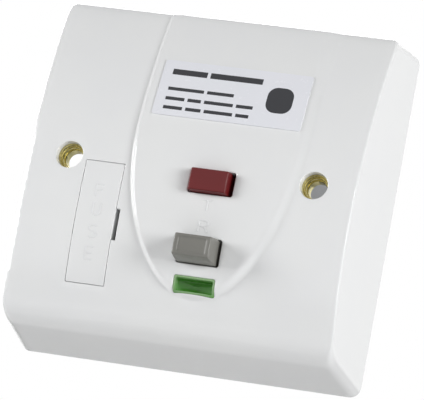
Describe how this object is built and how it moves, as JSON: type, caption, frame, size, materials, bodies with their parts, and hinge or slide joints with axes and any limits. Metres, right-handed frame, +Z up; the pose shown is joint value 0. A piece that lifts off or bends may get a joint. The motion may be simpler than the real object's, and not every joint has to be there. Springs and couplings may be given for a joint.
{
  "type": "rcd fused spur",
  "caption": "Deep one-gang wall unit that joins a fused outlet spur with a residual current device: test and reset buttons, flag window and draw-out fuse carrier.",
  "frame": {"origin": "middle of the plate's rear rim, in the plane of the wall", "axes": "+X to the right as seen from the front, +Y into the wall, +Z up"},
  "size_m": [0.086, 0.0561, 0.086],
  "materials": {
    "plate": "glossy white urea moulding",
    "brass": "bright turned brass",
    "label": "pale printed film",
    "red_plastic": "red moulding",
    "grey_plastic": "warm grey moulding",
    "green_lens": "translucent green",
    "flag": "green and red flag faces",
    "ceramic": "pale ceramic",
    "caps": "plated brass",
    "clip_metal": "spring brass strip",
    "housing": "pale grey moulding",
    "steel": "plated steel",
    "board": "green laminate",
    "carriage": "dark grey moulding",
    "copper": "copper strip",
    "silver": "silver alloy",
    "core": "coated steel tape ring",
    "winding": "enamelled copper wire",
    "bobbin": "natural nylon",
    "chip": "black resin",
    "capacitor": "dark blue sleeve",
    "varistor": "blue resin",
    "resistor": "tan coating"
  },
  "bodies": {
    "housing": {"front_plate": "plate", "fixing_eyelets": "brass", "rating_label": "label", "indicator_window": "green_lens", "fuse_clip_upper": "clip_metal", "fuse_clip_lower": "clip_metal", "rear_housing": "housing", "housing_screws": "steel", "circuit_board": "board", "button_frame": "housing", "test_spring": "steel", "reset_spring": "steel", "test_leaf": "clip_metal", "fixed_contacts": "silver", "line_feed_bar": "copper", "neutral_feed_bar": "copper", "line_load_bar": "copper", "neutral_load_bar": "copper", "earth_bar": "brass", "line_in_terminal": "brass", "neutral_in_terminal": "brass", "line_out_terminal": "brass", "neutral_out_terminal": "brass", "earth_terminals": "brass", "terminal_screws": "steel", "transformer_core": "core", "transformer_winding": "winding", "solenoid_bobbin": "bobbin", "solenoid_coil": "winding", "solenoid_yoke": "steel", "latch_pin": "steel", "control_chip": "chip", "capacitor": "capacitor", "varistor": "varistor", "test_resistor": "resistor"},
    "test_button": {"test_button": "red_plastic"},
    "reset_button": {"reset_button": "grey_plastic"},
    "contact_carriage": {"contact_carriage": "carriage", "line_bridge": "copper", "neutral_bridge": "copper", "moving_contacts": "silver", "contact_springs": "steel"},
    "indicator_drum": {"indicator_drum": "flag"},
    "fuse_carrier": {"fuse_carrier": "plate", "fuse_tube": "ceramic", "fuse_caps": "caps"},
    "trip_plunger": {"trip_plunger": "steel"},
    "latch_lever": {"latch_lever": "steel"}
  },
  "joints": [
    {"name": "test_press", "type": "slide", "parent": "housing", "child": "test_button", "axis": [0, 1, 0], "range_m": [0, 0.0012], "stiffness_N_per_m": 500, "springref_m": -0.002, "deforming": ["test_spring"]},
    {"name": "reset_press", "type": "slide", "parent": "housing", "child": "reset_button", "axis": [0, 1, 0], "range_m": [0, 0.0035], "stiffness_N_per_m": 600, "springref_m": -0.003, "deforming": ["reset_spring"]},
    {"name": "carriage_slide", "type": "slide", "parent": "housing", "child": "contact_carriage", "axis": [0, 1, 0], "range_m": [0, 0.0035]},
    {"name": "drum_turn", "type": "hinge", "parent": "housing", "child": "indicator_drum", "pos_m": [0.0061, -0.02224, -0.0279], "axis": [1, 0, 0], "range_deg": [0, 90]},
    {"name": "fuse_carrier_draw", "type": "slide", "parent": "housing", "child": "fuse_carrier", "axis": [0, -1, 0], "range_m": [0, 0.018]},
    {"name": "plunger_slide", "type": "slide", "parent": "housing", "child": "trip_plunger", "axis": [0, 0, -1], "range_m": [0, 0.0015], "stiffness_N_per_m": 60, "springref_m": -0.001},
    {"name": "latch_turn", "type": "hinge", "parent": "housing", "child": "latch_lever", "pos_m": [0.0175, 0.0015, -0.0026], "axis": [1, 0, 0], "range_deg": [0, 19]}
  ],
  "couplings": [
    {"joint": "carriage_slide", "follows": "reset_press", "ratio": 1},
    {"joint": "drum_turn", "follows": "reset_press", "rad_per_m": 448.79},
    {"joint": "latch_turn", "follows": "plunger_slide", "rad_per_m": 220}
  ]
}
